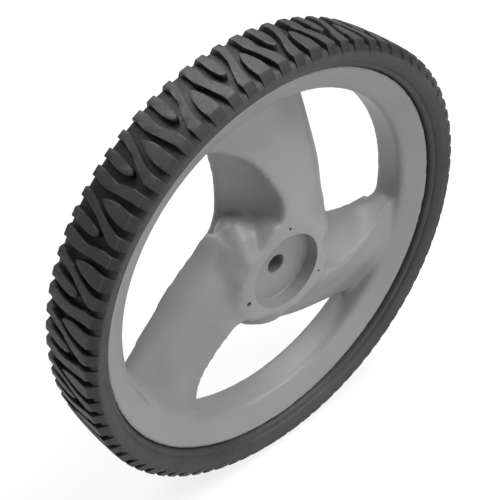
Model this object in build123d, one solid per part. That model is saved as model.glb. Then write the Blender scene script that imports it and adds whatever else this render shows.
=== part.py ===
from build123d import *
from math import copysign, hypot, pi
import os

# A 12 inch lawn mower wheel: a rubber tyre with a lugged tread on a one-piece plastic hub
# and rim. All sizes are in millimetres. The wheel spins about Y. Its origin is on the axle
# line at the middle of the tread, its front faces -Y and one spoke points up along +Z.

# Tyre
TYRE_DIAMETER = 304.8
TREAD_WIDTH = 45.0
CROWN_WIDTH = 38.0
CROWN_DROP = 0.8
SHOULDER_DROP = 4.6
SHOULDER_ROUND = 1.4
SIDEWALL_TOP_DIAMETER = 283.0
SIDEWALL_STEP = 1.0
BEAD_LIP = 0.8
BEAD_CLEARANCE = 0.3

# Tread: each unit of the pattern holds three teeth at the front edge and three at the back
TREAD_UNITS = 27
TREAD_TURN = -1.6
GROOVE_DEPTH = 4.0
EDGE_GROOVE_DROP = 8.4
# The walls of the lugs in one unit of the tread. A point is (share of a unit counter-clockwise
# round the tread, distance behind the middle of the tread).
SLANT_LUG_LEFT = [(-0.30, 14), (-0.24, 8), (-0.15, 0), (-0.075, -6), (-0.03, -11), (0.0, -16)]
SLANT_LUG_RIGHT = [(-0.15, 13), (-0.10, 7), (-0.05, 1.5), (0.06, -6), (0.14, -11), (0.19, -16)]
ROUND_LUG = [
    (0.025, 10), (0.05, 4), (0.085, 0), (0.12, -3), (0.155, -4.8), (0.19, -4.8), (0.225, -3),
    (0.24, 1), (0.225, 8), (0.19, 14),
]
WIDE_LUG_LEFT = [(0.33, 12), (0.36, 6), (0.385, 1), (0.37, -2), (0.34, -7), (0.31, -12)]
WIDE_LUG_RIGHT = [(0.51, 14), (0.54, 9), (0.555, 5), (0.53, -1), (0.51, -8), (0.495, -14)]
ARCH_LUG = [
    (0.63, -16), (0.605, -8), (0.615, -3), (0.65, 0.5), (0.70, 1.5), (0.76, 0), (0.81, -3.5),
    (0.85, -9), (0.87, -16),
]

# Rim
RIM_DIAMETER = 268.0
RIM_WIDTH = 33.6
RIM_INSET = 7.7
LIP_DIAMETER = 232.6
LIP_DEPTH = 10.0
LIP_ROUND = 4.0
BARREL_END_DIAMETER = 235.0
BACK_FLANGE_DIAMETER = 264.0
RIM_WALL = 3.2

# Hub
HUB_DEPTH = 41.6
HUB_CORE_DIAMETER = 78.0
HUB_FACE_REACH = 31.5
HUB_FACE_TURN = 17.7
HUB_SIDE_SLOPE = 32.0
RECESS_DIAMETER = 53.4
RECESS_DEPTH = 10.0
RECESS_ROUND = 1.5
BORE_DIAMETER = 13.0
BORE_CHAMFER = 0.6

# Knuckle: the cone that fills the corner between a spoke's end and the next scoop. Its tip
# and base are (x, distance up, depth) beside the upright spoke
KNUCKLE_TIP = (-28.7, 15.5, 1.8)
KNUCKLE_BASE = (-25.5, 33.0, 25.0)
KNUCKLE_BASE_DIAMETER = 25.0

# Three small pilot holes in the hub face, blind: angle counter-clockwise from +X, diameter
PILOT_CIRCLE_DIAMETER = 65.0
PILOT_HOLES = [(86.0, 2.4), (195.0, 3.4), (331.0, 1.6)]
PILOT_DEPTH = 8.0

# Spokes
SPOKE_COUNT = 3
SPOKE_WALL = 3.0
EDGE_DEPTH = 26.8
FOOT_HEIGHT = 5.0
WALL_BOW = 0.28
# One row per section across a spoke, from the axle outwards. Distance from the axle, then
# across the spoke: where the scoop's foot stands, four points of the front face from its
# sharp edge on, and where the plain edge ends. A front point is (x, depth behind the rim's
# front).
SPOKE_SECTIONS = [
    (15.5, -32.0, [(-27.5, 0.1), (6.0, 0.1), (27.5, 1.2), (40.5, 12.5)], 53.5),
    (28.0, -27.8, [(-16.2, 0.1), (2.0, 0.3), (20.0, 2.6), (37.5, 11.6)], 52.2),
    (43.5, -24.4, [(-0.8, 1.1), (8.5, 2.5), (20.5, 7.0), (34.8, 11.6)], 49.8),
    (58.0, -24.4, [(-2.9, 2.9), (7.8, 4.7), (19.4, 8.8), (32.4, 12.5)], 47.2),
    (72.5, -26.6, [(-10.3, 5.9), (2.9, 7.1), (15.4, 10.3), (28.6, 13.7)], 43.0),
    (87.0, -30.6, [(-22.0, 9.5), (-5.8, 9.3), (9.7, 11.0), (24.6, 15.4)], 38.5),
    (100.6, -36.2, [(-45.5, 14.7), (-23.2, 11.4), (0.0, 11.2), (19.8, 17.4)], 34.2),
    (110.3, -41.3, [(-63.8, 16.4), (-32.9, 12.1), (-2.0, 11.8), (17.9, 18.4)], 31.4),
    (121.8, -48.4, [(-81.3, 17.4), (-38.7, 12.6), (-3.9, 12.0), (15.9, 19.4)], 27.1),
]

# Worked out from the sizes above
crown_radius = TYRE_DIAMETER / 2
half_tread = TREAD_WIDTH / 2
half_crown = CROWN_WIDTH / 2
tooth_radius = crown_radius - SHOULDER_DROP
rim_radius = RIM_DIAMETER / 2
lip_radius = LIP_DIAMETER / 2
barrel_outer = BARREL_END_DIAMETER / 2 + RIM_WALL
face_y = RIM_INSET - half_tread
back_y = face_y + RIM_WIDTH
lip_y = face_y + LIP_DEPTH
hub_back_y = face_y + HUB_DEPTH
dish_slope = LIP_DEPTH / (rim_radius - lip_radius)
dish_wall = RIM_WALL * hypot(1, dish_slope)
unit_angle = 360.0 / TREAD_UNITS
unit_length = pi * TYRE_DIAMETER / TREAD_UNITS
spoke_end_radius = lip_radius + RIM_WALL / 2


def dish_y(radius):
    """How far back the front face of the dished flange lies at a radius."""
    return face_y + (rim_radius - radius) * dish_slope


def revolved(points):
    """Solid of revolution about the axle from a closed outline of (radius, y) points."""
    outline = Polyline(*[(r, y, 0) for r, y in points], close=True)
    return revolve(make_face(outline), Axis.Y)


def axle_cylinder(diameter, length):
    """Cylinder on the axle line, its middle at the origin."""
    return Rot(90, 0, 0) * Cylinder(diameter / 2, length)


def turned(angle, shape):
    """The shape turned counter-clockwise about the axle, as seen from the front."""
    return Rot(0, -angle, 0) * shape


def rim():
    """Dished front flange, barrel and back flange, one moulded wall thick."""
    back_radius = BACK_FLANGE_DIAMETER / 2
    ring = revolved([
        (rim_radius, face_y),
        (lip_radius, lip_y),
        (BARREL_END_DIAMETER / 2, back_y),
        (back_radius, back_y),
        (back_radius, back_y - RIM_WALL),
        (barrel_outer, back_y - RIM_WALL),
        (barrel_outer, dish_y(barrel_outer) + dish_wall),
        (rim_radius, face_y + dish_wall),
    ])
    circles = ring.edges().filter_by(GeomType.CIRCLE)
    lip = min(circles, key=lambda edge: abs(edge.radius - lip_radius))
    return fillet(lip, LIP_ROUND)


def spoke_section(distance, foot_x, front, edge_x):
    """Closed outline across one spoke, in the plane at the distance from the axle."""
    def at(x, depth):
        return Vector(x, face_y + depth, distance)

    top_x, top_depth = front[0]
    foot_top = HUB_DEPTH - FOOT_HEIGHT
    bow_x = top_x + (foot_x - top_x) * WALL_BOW
    bow_depth = (top_depth + foot_top) / 2
    foot = at(foot_x, HUB_DEPTH)
    foot_edge = at(foot_x, foot_top)
    inner_foot = at(foot_x + SPOKE_WALL, HUB_DEPTH)
    inner_foot_edge = at(foot_x + SPOKE_WALL, foot_top)
    top = at(top_x, top_depth)
    inner_top = at(top_x + SPOKE_WALL * 1.6, top_depth + SPOKE_WALL * 1.3)
    edge = at(edge_x, EDGE_DEPTH)
    inner_edge = at(edge_x - SPOKE_WALL, EDGE_DEPTH)
    crest = [at(*point) for point in front[1:]]
    inner_crest = [at(x, depth + SPOKE_WALL) for x, depth in front[1:]]
    level = crest[0] - top
    fall = Vector(0.5, 2, 0)
    return Wire([
        Edge.make_line(foot, foot_edge),
        Edge.make_spline([foot_edge, at(bow_x, bow_depth), top]),
        Edge.make_line(top, crest[0]),
        Edge.make_spline(crest + [edge], tangents=[level, fall]),
        Edge.make_line(edge, inner_edge),
        Edge.make_spline([inner_edge] + inner_crest[::-1], tangents=[-fall, -level]),
        Edge.make_line(inner_crest[0], inner_top),
        Edge.make_spline([inner_top, at(bow_x + SPOKE_WALL, bow_depth), inner_foot_edge]),
        Edge.make_line(inner_foot_edge, inner_foot),
        Edge.make_line(inner_foot, foot),
    ])


def spoke():
    """One blade-like spoke, a thin shell open at the back, as far as the barrel."""
    blade = Solid.make_loft([spoke_section(*row) for row in SPOKE_SECTIONS])
    reach = Pos(0, face_y + 2 * HUB_DEPTH, 0) * axle_cylinder(2 * spoke_end_radius, 4 * HUB_DEPTH)
    return blade & reach


def hub_core():
    """Three-sided boss behind the flat hub face, before its recess and holes."""
    core = Pos(0, (face_y + hub_back_y) / 2, 0) * axle_cylinder(HUB_CORE_DIAMETER, HUB_DEPTH)
    block = 4 * HUB_CORE_DIAMETER
    for k in range(SPOKE_COUNT):
        side = Rot(0, 0, -HUB_SIDE_SLOPE) * Pos(block / 2, 0, 0) * Box(block, block, block)
        side = Pos(HUB_FACE_REACH, face_y, 0) * side
        core -= turned(HUB_FACE_TURN + k * 360 / SPOKE_COUNT, side)
    return core


def knuckle():
    """Cone from the corner of the hub face down into the scoop beside the upright spoke."""
    tip, base = [Vector(x, face_y + depth, up) for x, up, depth in (KNUCKLE_TIP, KNUCKLE_BASE)]
    axis = base - tip
    return Solid.make_cone(0, KNUCKLE_BASE_DIAMETER / 2, axis.length, Plane(tip, z_dir=axis))


def hub_cuts():
    """Recess with its rounded corner, the axle bore and the small pilot holes."""
    floor_y = face_y + RECESS_DEPTH
    recess = revolved([
        (0, face_y - RECESS_DEPTH),
        (RECESS_DIAMETER / 2, face_y - RECESS_DEPTH),
        (RECESS_DIAMETER / 2, floor_y),
        (0, floor_y),
    ])
    corner = recess.edges().filter_by(GeomType.CIRCLE).sort_by(Axis.Y)[-1]
    bore_radius = BORE_DIAMETER / 2
    bore = revolved([
        (0, floor_y - 1),
        (bore_radius + BORE_CHAMFER + 1, floor_y - 1),
        (bore_radius, floor_y + BORE_CHAMFER),
        (bore_radius, hub_back_y - BORE_CHAMFER),
        (bore_radius + BORE_CHAMFER + 1, hub_back_y + 1),
        (0, hub_back_y + 1),
    ])
    pilots = []
    for angle, diameter in PILOT_HOLES:
        hole = Pos(PILOT_CIRCLE_DIAMETER / 2, face_y, 0) * axle_cylinder(diameter, 2 * PILOT_DEPTH)
        pilots.append(turned(angle, hole))
    return [fillet(corner, RECESS_ROUND), bore] + pilots


def hub_and_rim():
    """The whole grey moulding."""
    blade = spoke()
    corner = knuckle()
    body = rim() + hub_core()
    for k in range(SPOKE_COUNT):
        body += turned(k * 360 / SPOKE_COUNT, blade)
        body += turned(k * 360 / SPOKE_COUNT, corner)
    return body - hub_cuts()


def tyre_body():
    """The tyre before its tread is cut: it fills the channel between the rim's flanges."""
    seat = barrel_outer + BEAD_CLEARANCE
    front_bead = rim_radius + BEAD_CLEARANCE
    back_bead = BACK_FLANGE_DIAMETER / 2 + BEAD_CLEARANCE
    wall_top = SIDEWALL_TOP_DIAMETER / 2
    channel_back = back_y - RIM_WALL - BEAD_CLEARANCE
    front_gap = dish_wall + BEAD_CLEARANCE
    half_outline = [
        (wall_top - SIDEWALL_STEP, half_tread - SIDEWALL_STEP),
        (wall_top, half_tread - SIDEWALL_STEP),
        (wall_top + SIDEWALL_STEP, half_tread),
        (tooth_radius - SHOULDER_ROUND, half_tread),
        (tooth_radius, half_tread - SHOULDER_ROUND),
        (crown_radius - CROWN_DROP, half_crown),
    ]
    front = [(r, -y) for r, y in half_outline]
    return revolved(
        [(seat, dish_y(seat) + front_gap), (front_bead, dish_y(front_bead) + front_gap)]
        + [(front_bead, face_y - BEAD_LIP)]
        + front
        + [(crown_radius, 0)]
        + half_outline[::-1]
        + [(back_bead, back_y + BEAD_LIP), (back_bead, channel_back), (seat, channel_back)]
    )


def to_edge(point):
    """The point's place on the nearer edge of the tread, just past it."""
    share, y = point
    return share, copysign(half_tread + 2, y)


def tread_floor(outline):
    """Prism over one groove floor, from its closed outline of (share of a unit, y) points."""
    middle = sum(share for share, _ in outline) / len(outline)
    points = [((middle - share) * unit_length, y) for share, y in outline]
    prism = extrude(make_face(Polyline(*points, close=True)), crown_radius / 8, both=True)
    return turned(middle * unit_angle, Pos(0, 0, crown_radius) * prism)


def tread_grooves():
    """All grooves of the tread: a forked floor and a branched floor in each unit."""
    next_slant_left = [(share + 1, y) for share, y in SLANT_LUG_LEFT]
    forked = (
        [to_edge(WIDE_LUG_RIGHT[0])] + WIDE_LUG_RIGHT + [to_edge(WIDE_LUG_RIGHT[-1])]
        + [to_edge(ARCH_LUG[0])] + ARCH_LUG + [to_edge(ARCH_LUG[-1])]
        + [to_edge(next_slant_left[-1])] + next_slant_left[::-1] + [to_edge(next_slant_left[0])]
    )
    branched = (
        [to_edge(SLANT_LUG_RIGHT[0])] + SLANT_LUG_RIGHT + [to_edge(SLANT_LUG_RIGHT[-1])]
        + [to_edge(WIDE_LUG_LEFT[-1])] + WIDE_LUG_LEFT[::-1] + [to_edge(WIDE_LUG_LEFT[0])]
        + [to_edge(ROUND_LUG[-1])] + ROUND_LUG[::-1] + [to_edge(ROUND_LUG[0])]
    )
    out = half_tread + 2
    floor = crown_radius - GROOVE_DEPTH
    edge = crown_radius - EDGE_GROOVE_DROP
    far = crown_radius + GROOVE_DEPTH
    band = revolved([
        (far, -out),
        (edge, -out),
        (floor, -half_crown),
        (floor, half_crown),
        (edge, out),
        (far, out),
    ])
    unit = [tread_floor(outline) & band for outline in (forked, branched)]
    angles = [TREAD_TURN + k * unit_angle for k in range(TREAD_UNITS)]
    return [turned(angle, shape) for angle in angles for shape in unit]


def tyre():
    """The whole rubber tyre."""
    return tyre_body() - tread_grooves()


os.makedirs("parts", exist_ok=True)
export_step(hub_and_rim(), "parts/hub_and_rim.step")
export_step(tyre(), "parts/tyre.step")
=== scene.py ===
from math import atan2, copysign, cos, degrees, hypot, pi, radians, sin

import bmesh
import bpy
from bpy.props import FloatProperty, FloatVectorProperty, IntProperty, PointerProperty
from bpy.types import Operator, Panel, PropertyGroup
from mathutils import Matrix, Vector


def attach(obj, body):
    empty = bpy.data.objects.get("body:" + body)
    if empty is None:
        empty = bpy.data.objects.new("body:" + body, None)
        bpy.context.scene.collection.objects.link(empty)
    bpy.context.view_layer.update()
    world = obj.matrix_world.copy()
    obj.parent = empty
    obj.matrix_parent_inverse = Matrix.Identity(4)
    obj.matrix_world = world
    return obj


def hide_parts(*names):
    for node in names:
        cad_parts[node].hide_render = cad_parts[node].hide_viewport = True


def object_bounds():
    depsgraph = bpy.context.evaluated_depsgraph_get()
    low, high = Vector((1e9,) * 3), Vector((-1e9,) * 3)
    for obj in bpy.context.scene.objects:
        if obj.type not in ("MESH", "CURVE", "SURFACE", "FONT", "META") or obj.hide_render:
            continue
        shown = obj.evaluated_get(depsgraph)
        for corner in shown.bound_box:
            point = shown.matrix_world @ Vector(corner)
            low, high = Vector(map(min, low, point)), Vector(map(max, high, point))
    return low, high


bl_info = {
    "name": "Lawn Mower Wheel",
    "version": (1, 0, 0),
    "blender": (4, 5, 0),
    "location": "3D View > Sidebar > Wheel",
    "description": "Treaded rubber tyre, satin plastic hub and studio for a lawn mower wheel",
    "category": "Object",
}

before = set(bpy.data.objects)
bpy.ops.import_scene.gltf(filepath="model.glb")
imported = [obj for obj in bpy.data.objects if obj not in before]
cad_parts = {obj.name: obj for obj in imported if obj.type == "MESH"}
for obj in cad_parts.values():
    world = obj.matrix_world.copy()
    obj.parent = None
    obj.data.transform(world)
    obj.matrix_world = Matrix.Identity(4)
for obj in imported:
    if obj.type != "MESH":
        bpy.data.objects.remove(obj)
cad_low, cad_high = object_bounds()

MM = 0.001
# Distance that counts as none.
HAIR = 0.01 * MM

# Turns of the three spokes in degrees, counter-clockwise as seen from the front.
SPOKE_PITCH = 120
SPOKE_TURNS = (0, SPOKE_PITCH, 2 * SPOKE_PITCH)

# Lug walls in one unit of the tread. The slanting and the wide lug have two walls from the back
# edge to the front, the round lug one from the back edge round to it again, and the pointed lug
# one from the front edge. A point is (share of a unit counter-clockwise round the tread,
# millimetres behind the middle of the tread).
SLANT_LEFT = [(-0.30, 14), (-0.24, 8), (-0.15, 0), (-0.075, -6), (-0.03, -11), (0.0, -16)]
SLANT_RIGHT = [(-0.15, 13), (-0.10, 7), (-0.05, 1.5), (0.06, -6), (0.14, -11), (0.19, -16)]
ROUND_SIDES = [
    (0.03, 12), (0.055, 6), (0.078, 1.5), (0.095, -1.8), (0.125, -4.6), (0.20, -4.8),
    (0.23, -2.0), (0.236, 1.5), (0.222, 8), (0.19, 14),
]
WIDE_LEFT = [(0.33, 12), (0.36, 6), (0.385, 1), (0.37, -2), (0.34, -7), (0.31, -12)]
WIDE_RIGHT = [(0.51, 14), (0.54, 9), (0.555, 5), (0.53, -1), (0.51, -8), (0.495, -14)]
ARCH_SIDES = [
    (0.63, -16), (0.612, -9), (0.62, -4), (0.65, 0), (0.685, 3.4), (0.725, 2.2), (0.79, -2.5),
    (0.84, -8), (0.87, -16),
]

# How far the tread surface drops to the corner of the crown, from there to the bevel along the
# tyre's edge, and over that bevel, with the bevel's width. FLOOR_DROP is how far the groove
# floors drop at the edge.
CROWN_DROP = 0.8 * MM
SHOULDER_DROP = 3.9 * MM
EDGE_BEVEL = 1.0 * MM
EDGE_DROP = 1.9 * MM
FLOOR_DROP = 3.2 * MM

# How far the lugs reach below the groove floors.
LUG_ROOT = 1.0 * MM

# Planes that cut the lugs so that they can bend: per unit along the tread, before the start of
# the unit, across the crown in millimetres from its middle, and across the shoulder.
BEND_CUTS = 9
CUTS_BEFORE = 4
CROWN_CUTS = (5, 10, 15)
SHOULDER_CUT = 20.4 * MM

# Sides of the tyre as (radius, y) in millimetres: the front from the seat on the rim out to the
# tread, the back from the tread in to the seat.
FRONT_SIDE = [
    (120.6, -1.5), (134.3, -11.8), (134.3, -15.4), (134.9, -16.2), (136.2, -17.2),
    (137.0, -17.4), (137.3, -18.2), (138.4, -19.4), (140.4, -21.0), (142.4, -22.1),
]
BACK_SIDE = [
    (142.4, 22.1), (140.4, 21.6), (138.4, 20.9), (137.3, 20.3), (134.0, 19.9), (132.3, 19.6),
    (132.3, 15.3), (120.6, 15.3),
]

# Millimetres that the tyre's body stays inside the ends of the lugs, and that its groove floor
# rises in the middle, and the steps of the spun body for each unit of the tread.
SIDE_INSET = 0.05
FLOOR_RISE = 0.1
BODY_STEPS_PER_UNIT = 8

# The rubber's colour is darkened by painted shade at the radius of the groove floors, where the
# grooves lie in shadow: the distances from there where it starts to lighten and where it stops.
PAINTED_GROOVE_SHADE = 0.25
DARK_TO = 0.8 * MM
LIGHT_FROM = 4.5 * MM

# Darker and lighter share of each colour, and range of each roughness.
RUBBER_SHADES = (0.8, 1.25)
RUBBER_ROUGHNESS = (0.50, 0.64)
PLASTIC_SHADES = (0.95, 1.05)
PLASTIC_ROUGHNESS = (0.40, 0.50)
PLASTIC_SPECULAR = 0.45

# Noises of the materials: scale and detail.
PATCHES = (38.0, 6.0)
SPECKLE = (420.0, 3.0)
PORES = (900.0, 2.0)
FLOW_MARKS = (14.0, 3.0)
GRAIN_DETAIL = 2.0

# Bumps of the materials: strength and depth.
PORE_BUMP = (0.25, 0.2 * MM)
SPECKLE_BUMP = (0.2, 0.3 * MM)
GRAIN_BUMP = (0.12, 0.12 * MM)

# Angles over which an edge stays sharp in the shading.
TYRE_CREASE = radians(38)
HUB_CREASE = radians(40)

# Recess and bore, in millimetres: the recess with the (radius, height above its floor) of its
# rounded foot, the bore with its bevel, and how far the cutter stands out in front and behind.
RECESS_RADIUS = 26.7
RECESS_DEPTH = 10
RECESS_FOOT = [(RECESS_RADIUS, 1.4), (26.3, 0.5), (25.4, 0)]
BORE_RADIUS = 6.5
BORE_BEVEL = 0.6
FRONT_CLEAR = 6
BACK_CLEAR = 1

# Sides of the round cutters and of the pins.
HOLE_STEPS = 120
PIN_SIDES = 72

# Radius in millimetres of the pin that fills the recess and the bore until they are cut.
CORE_RADIUS = 28.2

# Pilot holes in the hub face, in millimetres: how far from the axle line they lie, their depth,
# how far their cutters stand out, and how much wider and deeper than the holes the pins are that
# fill them until they are cut.
PILOT_CIRCLE = 32.5
PILOT_DEPTH = 8
PILOT_CLEAR = 4
PILOT_FILL = 0.8
PILOT_FLOOR = 1

# Each pilot hole: degrees counter-clockwise from the upright spoke, radius in millimetres.
PILOTS = [(-4, 1.2), (105, 1.7), (241, 0.9)]

# Dome of the upright spoke's root, in millimetres: a ball whose half towards the tip is drawn
# out to it.
DOME_RADIUS = 12.8
DOME_CENTRE = Vector((-24.6, 6.6, 29.0))
DOME_TIP = Vector((-28.7, -12.8, 15.1))

# Flank beside the dome, in millimetres: points of its skin, its thickness and the way inward.
FLANK = [
    (-39.0, 4.9, 38.0), (-36.0, -6.6, 28.2), (-29.2, -14.6, 15.4), (-45.5, -0.6, 22.5),
    (-42.6, -5.8, 12.3), (-36.4, -12.6, 8.9), (-33.5, -14.6, 2.0), (-43.2, -9.4, -4.0),
    (-32.5, -14.6, -12.0),
]
FLANK_THICKNESS = 6
FLANK_INWARD = Vector((0.5, 0.58, -0.64))

# Parts of the skin that are smoothed again. The valley: how far back it goes, its distances from
# the axle line in millimetres, and degrees counter-clockwise from +X or a spoke pitch on from
# there. The dome: its crown in millimetres and how far round it.
VALLEY_BACK = 8 * MM
VALLEY_REACH = (32, 54)
VALLEY_ANGLES = (50, 84)
CROWN_PLACE = Vector((-25, 7, 36))
CROWN_REACH = 13

# Passes of smoothing over the whole skin, the valleys and the crowns of the domes.
SKIN_PASSES = 8
VALLEY_PASSES = 25
CROWN_PASSES = 20

# Square soft lamps that point at the middle of the wheel: name, place, size in metres, watts.
LAMPS = [
    ("top_lamp", (0.45, -0.38, 1.2), 0.8, 21),
    ("front_lamp", (0.15, -1.55, 0.45), 1.0, 11),
    ("back_lamp", (0.1, 0.75, 1.2), 0.8, 14),
]

# Half the side of the floor, the share of glow in what the eye sees of it, and the strength of
# the surroundings on the wheel and to the eye.
FLOOR_REACH = 4.0
FLOOR_GLOW = 0.8
WORLD_ON_WHEEL = 0.26
WORLD_TO_EYE = 1.0

# Camera fitted to the photograph: focal length and sensor in millimetres, place, and the
# directions of its right, its up and its back.
LENS = 67.67
SENSOR = 36.0
CAMERA_PLACE = (-0.3072, -0.3338, 0.3839)
CAMERA_RIGHT = (0.74908, -0.66239, -0.01093)
CAMERA_UP = (0.42872, 0.47212, 0.77026)
CAMERA_BACK = (-0.50505, -0.58167, 0.63763)


class WheelSizes(PropertyGroup):
    """Sizes of the dressed wheel"""

    crown_radius: FloatProperty(
        name="Crown radius", description="Axle line to the middle of the tread",
        default=cad_high.z, subtype="DISTANCE", unit="LENGTH",
    )
    half_tread: FloatProperty(
        name="Half tread", description="Middle of the tread to one edge of the tyre",
        default=22.5 * MM, subtype="DISTANCE", unit="LENGTH",
    )
    half_crown: FloatProperty(
        name="Half crown", description="Middle of the tread to the corner of its shoulder",
        default=19.0 * MM, subtype="DISTANCE", unit="LENGTH",
    )
    lug_height: FloatProperty(
        name="Lug height", description="How far the lugs stand over the groove floors",
        default=4.0 * MM, subtype="DISTANCE", unit="LENGTH",
    )
    lug_edge: FloatProperty(
        name="Lug edge", description="Rounding along the top edge of each lug",
        default=0.5 * MM, subtype="DISTANCE", unit="LENGTH",
    )
    tread_units: IntProperty(
        name="Tread units", description="How often the tread pattern repeats", default=27,
    )
    tread_turn: FloatProperty(
        name="Tread turn", description="Turn of the whole tread about the axle",
        default=radians(-1.6), subtype="ANGLE", unit="ROTATION",
    )
    hub_face: FloatProperty(
        name="Hub face", description="Place of the flat hub face along the axle",
        default=-14.8 * MM, subtype="DISTANCE", unit="LENGTH",
    )
    hub_back: FloatProperty(
        name="Hub back", description="Place of the hub's back face along the axle",
        default=cad_high.y, subtype="DISTANCE", unit="LENGTH",
    )
    skin_step: FloatProperty(
        name="Skin step", description="Mesh size of the moulded hub and rim",
        default=1.5 * MM, subtype="DISTANCE", unit="LENGTH",
    )
    grain: FloatProperty(
        name="Grain", description="Size of the fine mould texture on the plastic",
        default=0.5 * MM, subtype="DISTANCE", unit="LENGTH",
    )


class WheelColours(PropertyGroup):
    """Colours of the dressed wheel"""

    rubber: FloatVectorProperty(
        name="Rubber", description="Tyre rubber", subtype="COLOR", size=3,
        default=(0.022, 0.022, 0.023), min=0, max=1,
    )
    plastic: FloatVectorProperty(
        name="Plastic", description="Moulded hub and rim", subtype="COLOR", size=3,
        default=(0.185, 0.185, 0.188), min=0, max=1,
    )
    floor: FloatVectorProperty(
        name="Floor", description="Studio floor", subtype="COLOR", size=3,
        default=(0.92, 0.92, 0.92), min=0, max=1,
    )


def tree_of(material):
    """New node tree of the material, with an output and a shader, and that shader."""
    material.use_nodes = True
    tree = material.node_tree
    tree.nodes.clear()
    out = tree.nodes.new("ShaderNodeOutputMaterial")
    shader = tree.nodes.new("ShaderNodeBsdfPrincipled")
    tree.links.new(shader.outputs["BSDF"], out.inputs["Surface"])
    return tree, shader


def noise(tree, scale, detail):
    """Noise texture on object coordinates."""
    place = tree.nodes.new("ShaderNodeTexCoord")
    texture = tree.nodes.new("ShaderNodeTexNoise")
    texture.inputs["Scale"].default_value = scale
    texture.inputs["Detail"].default_value = detail
    tree.links.new(place.outputs["Object"], texture.inputs["Vector"])
    return texture.outputs["Fac"]


def ramp(tree, value, low, high):
    """Colour between low and high, as the value goes from 0.3 to 0.7."""
    node = tree.nodes.new("ShaderNodeValToRGB")
    for element, position, colour in zip(node.color_ramp.elements, (0.3, 0.7), (low, high)):
        element.position = position
        element.color = (*colour, 1)
    tree.links.new(value, node.inputs["Fac"])
    return node.outputs["Color"]


def greys(tree, value, ends):
    """Grey between two ends, as the value goes from 0.3 to 0.7."""
    low, high = [(end, end, end) for end in ends]
    return ramp(tree, value, low, high)


def shades(colour, shares):
    """The colour times each of the shares."""
    return [[min(part * share, 1) for part in colour] for share in shares]


def bump(tree, shader, layers):
    """Bump from a list of (height, strength, distance), one over the other."""
    last = None
    for height, strength, distance in layers:
        node = tree.nodes.new("ShaderNodeBump")
        node.inputs["Strength"].default_value = strength
        node.inputs["Distance"].default_value = distance
        tree.links.new(height, node.inputs["Height"])
        if last:
            tree.links.new(last, node.inputs["Normal"])
        last = node.outputs["Normal"]
    tree.links.new(last, shader.inputs["Normal"])


def groove_shade_mask(tree, bed):
    """Mask of the painted groove shade: 0 near the radius of the groove floors, 1 well above or
    below it.
    """
    place = tree.nodes.new("ShaderNodeTexCoord")
    flat = tree.nodes.new("ShaderNodeVectorMath")
    flat.operation = "MULTIPLY"
    flat.inputs[1].default_value = (1, 0, 1)
    tree.links.new(place.outputs["Object"], flat.inputs[0])
    reach = tree.nodes.new("ShaderNodeVectorMath")
    reach.operation = "LENGTH"
    tree.links.new(flat.outputs["Vector"], reach.inputs[0])
    above = tree.nodes.new("ShaderNodeMath")
    above.operation = "SUBTRACT"
    above.inputs[1].default_value = bed
    tree.links.new(reach.outputs["Value"], above.inputs[0])
    size = tree.nodes.new("ShaderNodeMath")
    size.operation = "ABSOLUTE"
    tree.links.new(above.outputs["Value"], size.inputs[0])
    share = tree.nodes.new("ShaderNodeMapRange")
    share.inputs["From Min"].default_value = DARK_TO
    share.inputs["From Max"].default_value = LIGHT_FROM
    tree.links.new(size.outputs["Value"], share.inputs["Value"])
    return share.outputs["Result"]


def rubber_material(colour, bed):
    """Dark moulded rubber, dusty in patches, with painted shade darkening it on the groove
    floors at radius bed.
    """
    material = bpy.data.materials.new("tyre_rubber_skin")
    tree, shader = tree_of(material)
    patches = noise(tree, *PATCHES)
    dark, light = shades(colour, RUBBER_SHADES)
    paint = tree.nodes.new("ShaderNodeMix")
    paint.data_type = "RGBA"
    paint.blend_type = "MULTIPLY"
    paint.inputs["Factor"].default_value = 1.0
    tree.links.new(ramp(tree, patches, dark, light), paint.inputs["A"])
    # Painted shade: the colour is multiplied down on and near the groove floors, where the
    # grooves lie in shadow.
    floors = greys(tree, groove_shade_mask(tree, bed), (PAINTED_GROOVE_SHADE, 1))
    tree.links.new(floors, paint.inputs["B"])
    tree.links.new(paint.outputs["Result"], shader.inputs["Base Color"])
    speckle = noise(tree, *SPECKLE)
    tree.links.new(greys(tree, speckle, RUBBER_ROUGHNESS), shader.inputs["Roughness"])
    bump(tree, shader, [(noise(tree, *PORES), *PORE_BUMP), (speckle, *SPECKLE_BUMP)])
    return material


def plastic_material(colour, grain):
    """Satin grey moulded plastic with a fine grain and faint flow marks."""
    material = bpy.data.materials.new("hub_plastic_skin")
    tree, shader = tree_of(material)
    marks = noise(tree, *FLOW_MARKS)
    dark, light = shades(colour, PLASTIC_SHADES)
    tree.links.new(ramp(tree, marks, dark, light), shader.inputs["Base Color"])
    fine = noise(tree, 1 / grain, GRAIN_DETAIL)
    tree.links.new(greys(tree, fine, PLASTIC_ROUGHNESS), shader.inputs["Roughness"])
    shader.inputs["Specular IOR Level"].default_value = PLASTIC_SPECULAR
    bump(tree, shader, [(fine, *GRAIN_BUMP)])
    return material


def object_from(name, bm, material):
    """Object of the bmesh, with the material, in the scene."""
    mesh = bpy.data.meshes.new(name)
    bm.to_mesh(mesh)
    bm.free()
    mesh.materials.append(material)
    piece = bpy.data.objects.new(name, mesh)
    bpy.context.scene.collection.objects.link(piece)
    return piece


def shade(piece, angle):
    """Smooth shading, with edges sharper than the angle kept."""
    for polygon in piece.data.polygons:
        polygon.use_smooth = True
    piece.data.set_sharp_from_angle(angle=angle)


def rounded(points):
    """The line with its inner corners cut twice over and its ends kept."""
    for _ in range(2):
        line = [points[0]]
        for a, b in zip(points, points[1:]):
            for share in (0.25, 0.75):
                line.append(tuple(p * (1 - share) + q * share for p, q in zip(a, b)))
        line.append(points[-1])
        points = line
    return points


def out_to(edge, wall):
    """The wall, rounded, with both ends run out to the tread's edge on their own side."""
    first, last = [(share, copysign(edge, y)) for share, y in (wall[0], wall[-1])]
    return [first, *rounded(wall), last]


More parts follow.
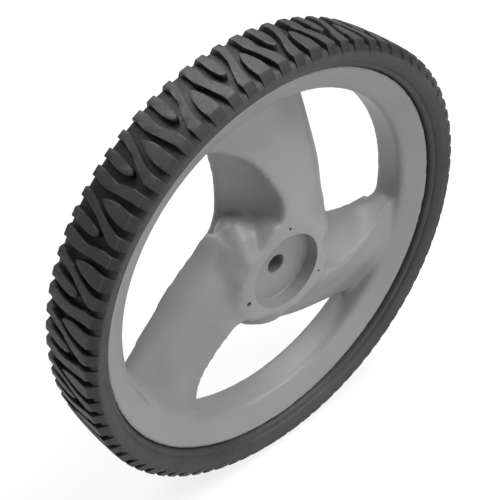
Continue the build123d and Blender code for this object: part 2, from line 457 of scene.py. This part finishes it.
def top_radius(sizes, y):
    """Radius of the uncut tread surface at a distance from its middle."""
    y = abs(y)
    corner = sizes.crown_radius - CROWN_DROP
    shoulder = sizes.half_tread - EDGE_BEVEL
    if y <= sizes.half_crown:
        return sizes.crown_radius - CROWN_DROP * (y / sizes.half_crown) ** 2
    if y <= shoulder:
        return corner - SHOULDER_DROP * (y - sizes.half_crown) / (shoulder - sizes.half_crown)
    return corner - SHOULDER_DROP - EDGE_DROP * (y - shoulder) / EDGE_BEVEL


def floor_radius(sizes, y):
    """Radius of the groove floors at a distance from the tread's middle."""
    flat = sizes.crown_radius - sizes.lug_height
    slope = max(0.0, abs(y) - sizes.half_crown) / (sizes.half_tread - sizes.half_crown)
    return flat - FLOOR_DROP * slope ** 2


def add_lug(bm, sizes, outline, unit_length):
    """One lug standing on the flat: its top face, beveled edge and walls."""
    verts = [bm.verts.new((share * unit_length, y * MM, 0)) for share, y in outline]
    top = bm.faces.new(verts)
    top.normal_update()
    if top.normal.z < 0:
        top.normal_flip()
    walls = bmesh.ops.extrude_face_region(bm, geom=[top])
    raised = [v for v in walls["geom"] if isinstance(v, bmesh.types.BMVert)]
    for v in verts:
        v.co.z = -(sizes.lug_height + LUG_ROOT)
    bm.faces.remove(top)
    edge = sizes.half_tread - HAIR
    crest = {
        e for v in raised for e in v.link_edges
        if all(end.co.z > -HAIR for end in e.verts)
        and not all(abs(end.co.y) > edge for end in e.verts)
    }
    bmesh.ops.bevel(
        bm, geom=list(crest), offset=sizes.lug_edge, offset_type="OFFSET", segments=2,
        profile=0.5, affect="EDGES", material=-1, clamp_overlap=True,
    )


def unit_of_tread(sizes):
    """The four lugs of one unit, cut for bending and bent round the axle."""
    bm = bmesh.new()
    unit_angle = 2 * pi / sizes.tread_units
    unit_length = sizes.crown_radius * unit_angle
    edge = sizes.half_tread / MM
    outlines = [
        out_to(edge, SLANT_LEFT) + out_to(edge, SLANT_RIGHT)[::-1],
        out_to(edge, WIDE_LEFT) + out_to(edge, WIDE_RIGHT)[::-1],
        out_to(edge, ROUND_SIDES),
        out_to(edge, ARCH_SIDES),
    ]
    for outline in outlines:
        add_lug(bm, sizes, outline, unit_length)
    for k in range(-CUTS_BEFORE, BEND_CUTS + 1):
        cut(bm, (k * unit_length / BEND_CUTS, 0, 0), (1, 0, 0))
    crown_cuts = [y * MM for y in CROWN_CUTS]
    shoulder = sizes.half_tread - EDGE_BEVEL
    for y in (*crown_cuts, sizes.half_crown, SHOULDER_CUT, shoulder):
        cut(bm, (0, y, 0), (0, 1, 0))
        cut(bm, (0, -y, 0), (0, 1, 0))
    low = sizes.lug_height + LUG_ROOT
    for v in bm.verts:
        angle = v.co.x / sizes.crown_radius + sizes.tread_turn
        y = v.co.y
        top = top_radius(sizes, y)
        foot = floor_radius(sizes, y) - LUG_ROOT
        radius = top + (foot - top) * (-v.co.z / low)
        v.co = (-sin(angle) * radius, y, cos(angle) * radius)
    return bm


def cut(bm, point, normal):
    """Cuts every face along a plane."""
    bmesh.ops.bisect_plane(
        bm, geom=bm.verts[:] + bm.edges[:] + bm.faces[:], plane_co=point, plane_no=normal,
    )


def spun(bm, points, steps):
    """Closed outline of (radius, y) points in millimetres, spun once round the axle."""
    verts = [bm.verts.new((0, y * MM, r * MM)) for r, y in points]
    edges = [bm.edges.new((a, b)) for a, b in zip(verts, verts[1:] + verts[:1])]
    bmesh.ops.spin(
        bm, geom=verts + edges, cent=(0, 0, 0), axis=(0, 1, 0), dvec=(0, 0, 0),
        angle=2 * pi, steps=steps, use_merge=True, use_duplicate=False,
    )


class WHEEL_OT_tyre(Operator):
    """Rubber tyre: body spun round the axle, with the lugs of the tread on it"""

    bl_idname = "wheel.tyre"
    bl_label = "Tyre"

    def execute(self, context):
        sizes, colours = context.scene.wheel_sizes, context.scene.wheel_colours
        bm = unit_of_tread(sizes)
        bmesh.ops.spin(
            bm, geom=bm.verts[:] + bm.edges[:] + bm.faces[:], cent=(0, 0, 0),
            axis=(0, 1, 0), dvec=(0, 0, 0), angle=2 * pi * (1 - 1 / sizes.tread_units),
            steps=sizes.tread_units - 1, use_duplicate=True,
        )
        floor = floor_radius(sizes, 0) / MM
        rim = floor_radius(sizes, sizes.half_tread) / MM
        mid = floor_radius(sizes, (sizes.half_crown + sizes.half_tread) / 2) / MM
        flat = sizes.half_crown / MM
        side = sizes.half_tread / MM - SIDE_INSET
        half_bed = [(floor, flat), (mid, (flat + side) / 2), (rim, side)]
        front_bed = [(radius, -y) for radius, y in reversed(half_bed)]
        bed_line = [*front_bed, (floor + FLOOR_RISE, 0), *half_bed]
        steps = sizes.tread_units * BODY_STEPS_PER_UNIT
        spun(bm, FRONT_SIDE + bed_line + BACK_SIDE, steps)
        bmesh.ops.recalc_face_normals(bm, faces=bm.faces[:])
        bed = sizes.crown_radius - sizes.lug_height
        piece = object_from("tyre_tread", bm, rubber_material(colours.rubber, bed))
        shade(piece, TYRE_CREASE)
        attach(piece, "root")
        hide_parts("tyre")
        return {"FINISHED"}


def about_axle(turn):
    """Rotation about the axle by degrees, counter-clockwise as seen from the front."""
    return Matrix.Rotation(radians(-turn), 4, "Y")


def pin(bm, reach, turn, radius, front, back):
    """Solid pin along Y from front to back, at a reach from the axle line, in millimetres."""
    across = -sin(radians(turn)) * reach
    up = cos(radians(turn)) * reach
    place = Vector((across, (front + back) / 2, up))
    bmesh.ops.create_cone(
        bm, cap_ends=True, cap_tris=False, segments=PIN_SIDES, radius1=radius * MM,
        radius2=radius * MM, depth=(back - front) * MM,
        matrix=Matrix.Translation(place * MM) @ Matrix.Rotation(radians(90), 4, "X"),
    )


def add_dome(bm, turn):
    """Dome of a spoke's root in the scoop, turned by degrees about the axle."""
    along = DOME_TIP - DOME_CENTRE
    place = about_axle(turn) @ Matrix.Translation(DOME_CENTRE * MM)
    place = place @ along.to_track_quat("Z", "X").to_matrix().to_4x4()
    ball = bmesh.ops.create_uvsphere(bm, u_segments=48, v_segments=32, radius=DOME_RADIUS * MM)
    for v in ball["verts"]:
        if v.co.z > 0:
            v.co.z *= along.length / DOME_RADIUS
    bmesh.ops.transform(bm, matrix=place, verts=ball["verts"])


def add_flank(bm, turn):
    """Flank of a spoke's root beside the dome, with a straight crest up to the hub face."""
    place = about_axle(turn)
    verts = []
    for point in FLANK:
        for inward in (0, FLANK_THICKNESS):
            co = Vector(point) + FLANK_INWARD * inward
            verts.append(bm.verts.new(place @ (co * MM)))
    bmesh.ops.convex_hull(bm, input=verts)


def in_valley(co):
    """True in front beside the hub, where a spoke runs softly up to the hub face."""
    reach = hypot(co.x, co.z) / MM
    angle = degrees(atan2(co.z, co.x)) % SPOKE_PITCH
    near, far = VALLEY_REACH
    low, high = VALLEY_ANGLES
    return co.y < VALLEY_BACK and near < reach < far and low < angle < high


def on_dome(co):
    """True on the crown of one of the three domes."""
    turned = [about_axle(-turn) @ co for turn in SPOKE_TURNS]
    return any((place / MM - CROWN_PLACE).length < CROWN_REACH for place in turned)


def smooth(bm, verts, times):
    """Evens out the vertices, several times over."""
    for _ in range(times):
        bmesh.ops.smooth_vert(
            bm, verts=verts, factor=0.5, use_axis_x=True, use_axis_y=True, use_axis_z=True,
        )


def remeshed(solid, step):
    """Even mesh over the solid and whatever stands in it; the object itself is removed."""
    remesh = solid.modifiers.new("Skin", "REMESH")
    remesh.mode = "VOXEL"
    remesh.voxel_size = step
    skin = bpy.data.meshes.new_from_object(
        solid.evaluated_get(bpy.context.evaluated_depsgraph_get())
    )
    bpy.data.objects.remove(solid)
    return skin


def hub_holes(face, back):
    """Cutter for the recess, the bore with its widened ends and the pilot holes."""
    bm = bmesh.new()
    front, behind = face - FRONT_CLEAR, back + BACK_CLEAR
    floor = face + RECESS_DEPTH
    foot = [(radius, floor - height) for radius, height in RECESS_FOOT]
    bore = [
        (BORE_RADIUS + BORE_BEVEL, floor), (BORE_RADIUS, floor + BORE_BEVEL),
        (BORE_RADIUS, back - BORE_BEVEL), (BORE_RADIUS + BACK_CLEAR, behind),
    ]
    spun(bm, [(RECESS_RADIUS, front), *foot, *bore, (0, behind), (0, front)], HOLE_STEPS)
    bmesh.ops.remove_doubles(bm, verts=bm.verts[:], dist=HAIR)
    bmesh.ops.dissolve_degenerate(bm, edges=bm.edges[:], dist=HAIR)
    for turn, radius in PILOTS:
        pin(bm, PILOT_CIRCLE, turn, radius, face - PILOT_CLEAR, face + PILOT_DEPTH)
    bmesh.ops.recalc_face_normals(bm, faces=bm.faces[:])
    return bm


def drill(piece, cutter):
    """Cuts the cutter's holes out of the piece."""
    tool = object_from("hub_cutter", cutter, piece.data.materials[0])
    cutting = piece.modifiers.new("Holes", "BOOLEAN")
    cutting.operation = "DIFFERENCE"
    cutting.solver = "EXACT"
    cutting.object = tool
    graph = bpy.context.evaluated_depsgraph_get()
    cut_mesh = bpy.data.meshes.new_from_object(piece.evaluated_get(graph))
    piece.modifiers.remove(cutting)
    old, piece.data = piece.data, cut_mesh
    bpy.data.meshes.remove(old)
    bpy.data.objects.remove(tool)


class WHEEL_OT_hub(Operator):
    """Hub and rim: one plastic moulding with soft edges and blended corners"""

    bl_idname = "wheel.hub"
    bl_label = "Hub and rim"

    def execute(self, context):
        sizes, colours = context.scene.wheel_sizes, context.scene.wheel_colours
        material = plastic_material(colours.plastic, sizes.grain)
        bm = bmesh.new()
        bm.from_mesh(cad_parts["hub_and_rim"].data)
        bmesh.ops.remove_doubles(bm, verts=bm.verts[:], dist=HAIR)
        face, back = sizes.hub_face / MM, sizes.hub_back / MM
        pin(bm, 0, 0, CORE_RADIUS, face, back)
        filled_to = face + PILOT_DEPTH + PILOT_FLOOR
        for turn, radius in PILOTS:
            pin(bm, PILOT_CIRCLE, turn, radius + PILOT_FILL, face, filled_to)
        for turn in SPOKE_TURNS:
            add_dome(bm, turn)
            add_flank(bm, turn)
        skin = remeshed(object_from("hub_solid", bm, material), sizes.skin_step)
        bm = bmesh.new()
        bm.from_mesh(skin)
        bpy.data.meshes.remove(skin)
        smooth(bm, bm.verts[:], SKIN_PASSES)
        smooth(bm, [v for v in bm.verts if in_valley(v.co)], VALLEY_PASSES)
        smooth(bm, [v for v in bm.verts if on_dome(v.co)], CROWN_PASSES)
        piece = object_from("hub_moulding", bm, material)
        drill(piece, hub_holes(face, back))
        shade(piece, HUB_CREASE)
        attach(piece, "root")
        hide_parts("hub_and_rim")
        return {"FINISHED"}


def lamp(name, place, size, power):
    """Square soft lamp that points at the middle of the wheel."""
    data = bpy.data.lights.new(name, "AREA")
    data.shape = "SQUARE"
    data.size = size
    data.energy = power
    holder = bpy.data.objects.new(name, data)
    bpy.context.scene.collection.objects.link(holder)
    holder.location = place
    holder.rotation_euler = (-Vector(place)).to_track_quat("-Z", "Y").to_euler()


def white_material(colour):
    """Pale matt floor that keeps a soft shadow and reads white to the eye."""
    material = bpy.data.materials.new("studio_floor")
    tree, shader = tree_of(material)
    shader.inputs["Base Color"].default_value = (*colour, 1)
    shader.inputs["Roughness"].default_value = 0.9
    paths = tree.nodes.new("ShaderNodeLightPath")
    seen = tree.nodes.new("ShaderNodeMath")
    seen.operation = "MAXIMUM"
    tree.links.new(paths.outputs["Is Camera Ray"], seen.inputs[0])
    tree.links.new(paths.outputs["Is Glossy Ray"], seen.inputs[1])
    share = tree.nodes.new("ShaderNodeMath")
    share.operation = "MULTIPLY"
    share.inputs[1].default_value = FLOOR_GLOW
    tree.links.new(seen.outputs[0], share.inputs[0])
    glow = tree.nodes.new("ShaderNodeEmission")
    glow.inputs["Strength"].default_value = 1.0
    mix = tree.nodes.new("ShaderNodeMixShader")
    tree.links.new(share.outputs[0], mix.inputs["Fac"])
    tree.links.new(shader.outputs["BSDF"], mix.inputs[1])
    tree.links.new(glow.outputs["Emission"], mix.inputs[2])
    out = next(n for n in tree.nodes if n.type == "OUTPUT_MATERIAL")
    tree.links.new(mix.outputs["Shader"], out.inputs["Surface"])
    return material


def background(tree, strength):
    """White surroundings of one strength."""
    node = tree.nodes.new("ShaderNodeBackground")
    node.inputs["Color"].default_value = (1, 1, 1, 1)
    node.inputs["Strength"].default_value = strength
    return node.outputs["Background"]


def white_world():
    """White surroundings for the eye, and a dimmer even light for the wheel."""
    world = bpy.data.worlds.new("studio")
    bpy.context.scene.world = world
    world.use_nodes = True
    tree = world.node_tree
    tree.nodes.clear()
    out = tree.nodes.new("ShaderNodeOutputWorld")
    paths = tree.nodes.new("ShaderNodeLightPath")
    mix = tree.nodes.new("ShaderNodeMixShader")
    tree.links.new(paths.outputs["Is Camera Ray"], mix.inputs["Fac"])
    tree.links.new(background(tree, WORLD_ON_WHEEL), mix.inputs[1])
    tree.links.new(background(tree, WORLD_TO_EYE), mix.inputs[2])
    tree.links.new(mix.outputs["Shader"], out.inputs["Surface"])


class WHEEL_OT_stage(Operator):
    """Floor, soft lamps, white surroundings and the camera"""

    bl_idname = "wheel.stage"
    bl_label = "Studio"

    def execute(self, context):
        colours = context.scene.wheel_colours
        bm = bmesh.new()
        bmesh.ops.create_grid(bm, x_segments=1, y_segments=1, size=FLOOR_REACH)
        bmesh.ops.translate(bm, verts=bm.verts[:], vec=(0, 0, cad_low.z))
        floor = object_from("studio_floor", bm, white_material(colours.floor))
        white_world()
        for name, place, size, power in LAMPS:
            lamp(name, place, size, power)
        data = bpy.data.cameras.new("camera")
        data.lens = LENS
        data.sensor_width = SENSOR
        data.clip_start = 0.01
        camera = bpy.data.objects.new("camera", data)
        context.scene.collection.objects.link(camera)
        turn = Matrix((CAMERA_RIGHT, CAMERA_UP, CAMERA_BACK)).transposed().to_4x4()
        camera.matrix_world = Matrix.Translation(CAMERA_PLACE) @ turn
        context.scene.camera = camera
        context.scene.view_settings.view_transform = "Standard"
        return {"FINISHED"}


class WHEEL_PT_panel(Panel):
    """Steps that dress the wheel, with its sizes and colours"""

    bl_idname = "WHEEL_PT_panel"
    bl_label = "Lawn Mower Wheel"
    bl_space_type = "VIEW_3D"
    bl_region_type = "UI"
    bl_category = "Wheel"

    def draw(self, context):
        layout = self.layout
        for step in STEPS:
            layout.operator(step.bl_idname)
        for group in (context.scene.wheel_sizes, context.scene.wheel_colours):
            for name in group.__annotations__:
                layout.prop(group, name)


STEPS = (WHEEL_OT_stage, WHEEL_OT_tyre, WHEEL_OT_hub)
CLASSES = (WheelSizes, WheelColours, *STEPS, WHEEL_PT_panel)


def register():
    for each in CLASSES:
        bpy.utils.register_class(each)
    bpy.types.Scene.wheel_sizes = PointerProperty(type=WheelSizes)
    bpy.types.Scene.wheel_colours = PointerProperty(type=WheelColours)


def unregister():
    del bpy.types.Scene.wheel_colours
    del bpy.types.Scene.wheel_sizes
    for each in reversed(CLASSES):
        bpy.utils.unregister_class(each)


def main():
    """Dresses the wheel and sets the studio."""
    register()
    bpy.ops.wheel.stage()
    bpy.ops.wheel.tyre()
    bpy.ops.wheel.hub()


if __name__ == "__main__":
    main()
